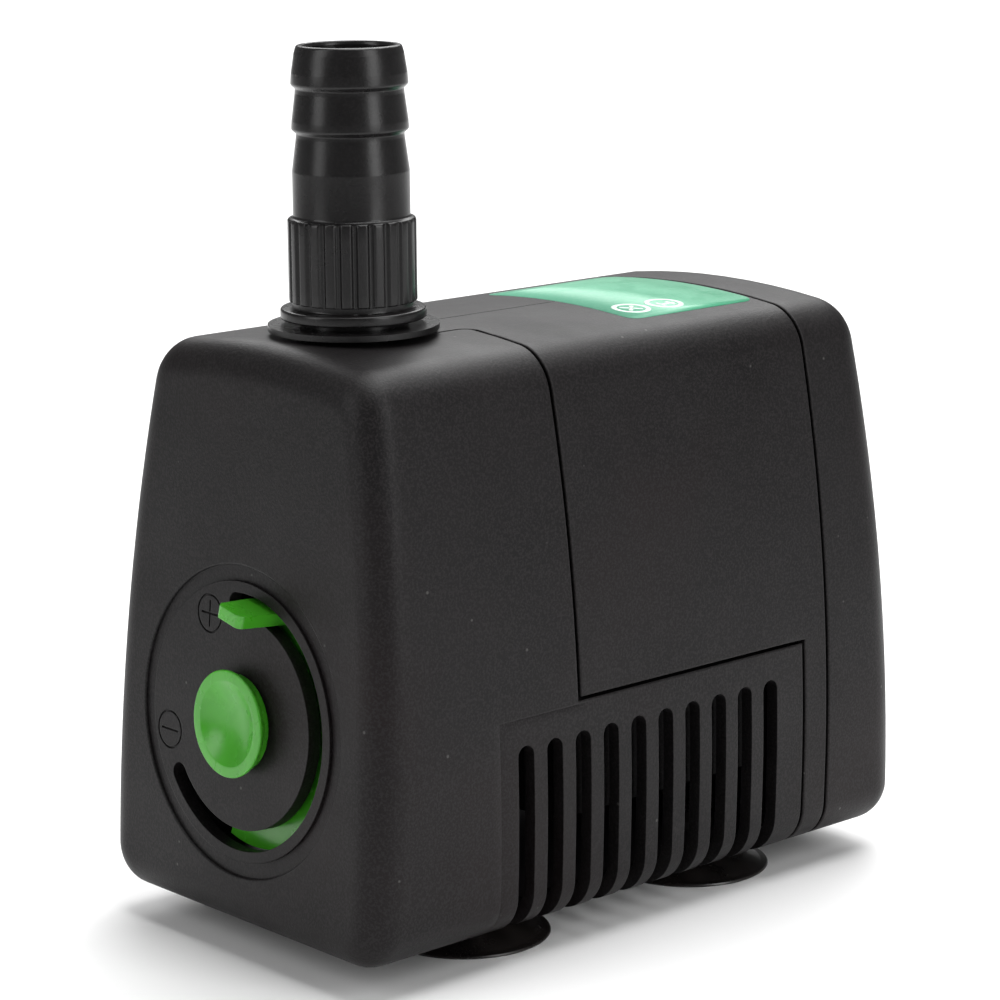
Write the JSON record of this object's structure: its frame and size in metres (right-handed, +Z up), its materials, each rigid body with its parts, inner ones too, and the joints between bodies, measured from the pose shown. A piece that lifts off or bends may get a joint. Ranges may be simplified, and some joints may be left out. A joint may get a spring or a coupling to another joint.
{
  "type": "fountain submersible pump",
  "caption": "Magnet-drive fountain submersible pump in a rounded box housing, with an inlet grille, a front flow regulator, suction cups and a threaded hose barb on top.",
  "frame": {"origin": "middle of the footprint, on the surface the suction cups stand on", "axes": "+Z up, -Y towards the front face with the flow regulator, +X to the right-hand side"},
  "size_m": [0.0748, 0.1361, 0.1532],
  "materials": {
    "housing_plastic": "fine moulded grain",
    "fitting_plastic": "satin",
    "green_plastic": "semi-gloss",
    "black_rubber": "smooth",
    "label_film": "satin printed film",
    "lamination_steel": "stacked sheets",
    "copper_wire": "enamelled winding",
    "bobbin_plastic": "satin",
    "resin": "cast",
    "ferrite": "ground",
    "white_plastic": "semi-gloss",
    "ceramic": "polished"
  },
  "bodies": {
    "housing": {"front_cover": "housing_plastic", "dial_plate": "housing_plastic", "motor_housing": "housing_plastic", "motor_can": "housing_plastic", "rear_cap": "housing_plastic", "cable_gland": "black_rubber", "rating_label": "label_film", "stator_core": "lamination_steel", "left_bobbin": "bobbin_plastic", "right_bobbin": "bobbin_plastic", "left_winding": "copper_wire", "right_winding": "copper_wire", "potting_compound": "resin", "shaft": "ceramic", "front_bearing": "black_rubber", "rear_bearing": "black_rubber", "front_thrust_washer": "ceramic", "rear_thrust_washer": "ceramic", "pump_chamber": "fitting_plastic", "chamber_cover": "fitting_plastic", "chamber_seal": "black_rubber", "front_left_cup": "black_rubber", "front_right_cup": "black_rubber", "rear_left_cup": "black_rubber", "rear_right_cup": "black_rubber"},
    "rotor": {"rotor_magnet": "ferrite", "impeller": "white_plastic", "front_rotor_bush": "ceramic", "rear_rotor_bush": "ceramic"},
    "regulator": {"flow_regulator": "green_plastic", "regulator_button": "green_plastic"},
    "outlet_ring": {"outlet_seal": "black_rubber"},
    "adapter": {"hose_adapter": "fitting_plastic"}
  },
  "joints": [
    {"name": "impeller_spin", "type": "hinge", "parent": "housing", "child": "rotor", "pos_m": [0, 0, 0.0412], "axis": [0, 1, 0], "continuous": true},
    {"name": "regulator_turn", "type": "hinge", "parent": "housing", "child": "regulator", "pos_m": [0, -0.063, 0.0412], "axis": [0, 0.9973, -0.0732], "range_deg": [-9, 209]},
    {"name": "adapter_rise", "type": "slide", "parent": "housing", "child": "outlet_ring", "axis": [0, 0, 1], "range_m": [0, 0.0115]},
    {"name": "adapter_unscrew", "type": "hinge", "parent": "outlet_ring", "child": "adapter", "pos_m": [0, -0.0365, 0.1], "axis": [0, 0, 1], "range_deg": [0, 2160]}
  ],
  "couplings": [
    {"joint": "adapter_rise", "follows": "adapter_unscrew", "m_per_rad": 0.00028648}
  ]
}
